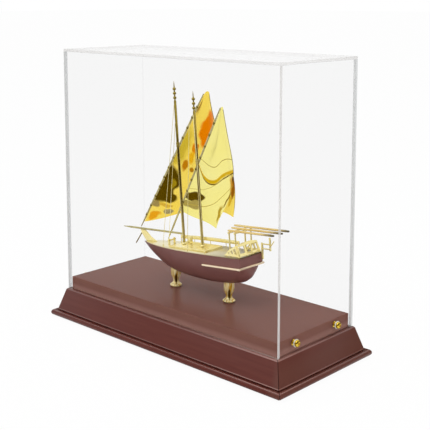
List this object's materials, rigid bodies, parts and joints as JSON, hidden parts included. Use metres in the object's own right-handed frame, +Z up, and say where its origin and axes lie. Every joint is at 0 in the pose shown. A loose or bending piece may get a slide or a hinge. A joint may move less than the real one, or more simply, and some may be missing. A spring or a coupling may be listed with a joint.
{
  "type": "ship model display case",
  "caption": "Clear acrylic cover on a lacquered moulded base, holding a gold lateen-rigged ship model on turned pillars; the cover lifts off once its end screws are loosened.",
  "frame": {"origin": "centre of the footprint, on the surface the case stands on", "axes": "+X along the case towards the ship's stern, -Y towards the front seen in the picture, +Z up"},
  "size_m": [0.3728, 0.1648, 0.3382],
  "materials": {
    "moulding_lacquer": "reddish brown lacquer, half gloss",
    "board_lacquer": "brown piano lacquer, glossy",
    "acrylic": "clear polished cast acrylic",
    "screw_brass": "polished brass",
    "washer_nylon": "natural nylon",
    "felt": "dark felt",
    "hidden_wood": "raw wood",
    "hidden_steel": "zinc-plated steel",
    "hull_lacquer": "dark red-brown satin lacquer",
    "deck_plate": "pale satin gold plate",
    "sail_plate": "mirror-polished gold-plated brass sheet",
    "gold_plate": "polished gold-plated brass"
  },
  "bodies": {
    "base": {"binnacle": "gold_plate", "bitts": "gold_plate", "bottom_panel": "hidden_wood", "bottom_panel_screws": "hidden_steel", "bowsprit": "gold_plate", "corner_blocks": "hidden_wood", "deadeyes": "gold_plate", "deck": "deck_plate", "felt_feet": "felt", "gallows_aft": "gold_plate", "gallows_fore": "gold_plate", "hatch_coaming": "gold_plate", "hatch_cover": "gold_plate", "hull_bottom": "hull_lacquer", "hull_topsides": "hull_lacquer", "main_lashings": "gold_plate", "main_mast": "gold_plate", "main_sail": "sail_plate", "main_yard": "gold_plate", "martingale": "gold_plate", "mast_boots": "gold_plate", "mizzen_lashings": "gold_plate", "mizzen_mast": "gold_plate", "mizzen_sail": "sail_plate", "mizzen_yard": "gold_plate", "moulding_front": "moulding_lacquer", "moulding_left": "moulding_lacquer", "moulding_rear": "moulding_lacquer", "moulding_right": "moulding_lacquer", "parrels": "gold_plate", "pillar_aft": "gold_plate", "pillar_bolts": "hidden_steel", "pillar_fore": "gold_plate", "plinth_board": "board_lacquer", "rail_stanchions": "gold_plate", "rigging_wires": "gold_plate", "screw_inserts": "screw_brass", "spare_spars": "gold_plate", "starboard_rail": "gold_plate", "stem_plate": "gold_plate", "stern_bracket": "gold_plate", "taffrail_port": "gold_plate", "taffrail_starboard": "gold_plate", "taffrail_stern": "gold_plate", "wale_port": "gold_plate", "wale_starboard": "gold_plate", "wale_stern": "gold_plate"},
    "cover": {"cover_front": "acrylic", "cover_left_end": "acrylic", "cover_rear": "acrylic", "cover_right_end": "acrylic", "cover_top": "acrylic"},
    "washer_right_front": {"washer_right_front": "washer_nylon"},
    "screw_right_front": {"cover_screw_right_front": "screw_brass"},
    "washer_right_rear": {"washer_right_rear": "washer_nylon"},
    "screw_right_rear": {"cover_screw_right_rear": "screw_brass"},
    "washer_left_front": {"washer_left_front": "washer_nylon"},
    "screw_left_front": {"cover_screw_left_front": "screw_brass"},
    "washer_left_rear": {"washer_left_rear": "washer_nylon"},
    "screw_left_rear": {"cover_screw_left_rear": "screw_brass"}
  },
  "joints": [
    {"name": "cover_lift", "type": "slide", "parent": "base", "child": "cover", "axis": [0, 0, 1], "range_m": [0, 0.28]},
    {"name": "screw_travel_right_front", "type": "slide", "parent": "base", "child": "washer_right_front", "axis": [1, 0, 0], "range_m": [0, 0.0119]},
    {"name": "screw_turn_right_front", "type": "hinge", "parent": "washer_right_front", "child": "screw_right_front", "pos_m": [0.17, -0.0363, 0.0457], "axis": [1, 0, 0], "range_deg": [0, 6120]},
    {"name": "screw_travel_right_rear", "type": "slide", "parent": "base", "child": "washer_right_rear", "axis": [1, 0, 0], "range_m": [0, 0.0119]},
    {"name": "screw_turn_right_rear", "type": "hinge", "parent": "washer_right_rear", "child": "screw_right_rear", "pos_m": [0.17, 0.0363, 0.0457], "axis": [1, 0, 0], "range_deg": [0, 6120]},
    {"name": "screw_travel_left_front", "type": "slide", "parent": "base", "child": "washer_left_front", "axis": [-1, 0, 0], "range_m": [0, 0.0119]},
    {"name": "screw_turn_left_front", "type": "hinge", "parent": "washer_left_front", "child": "screw_left_front", "pos_m": [-0.17, -0.0363, 0.0457], "axis": [-1, 0, 0], "range_deg": [0, 6120]},
    {"name": "screw_travel_left_rear", "type": "slide", "parent": "base", "child": "washer_left_rear", "axis": [-1, 0, 0], "range_m": [0, 0.0119]},
    {"name": "screw_turn_left_rear", "type": "hinge", "parent": "washer_left_rear", "child": "screw_left_rear", "pos_m": [-0.17, 0.0363, 0.0457], "axis": [-1, 0, 0], "range_deg": [0, 6120]}
  ],
  "couplings": [
    {"joint": "screw_turn_right_front", "follows": "screw_travel_right_front", "rad_per_m": 8976},
    {"joint": "screw_turn_right_rear", "follows": "screw_travel_right_rear", "rad_per_m": 8976},
    {"joint": "screw_turn_left_front", "follows": "screw_travel_left_front", "rad_per_m": 8976},
    {"joint": "screw_turn_left_rear", "follows": "screw_travel_left_rear", "rad_per_m": 8976}
  ]
}
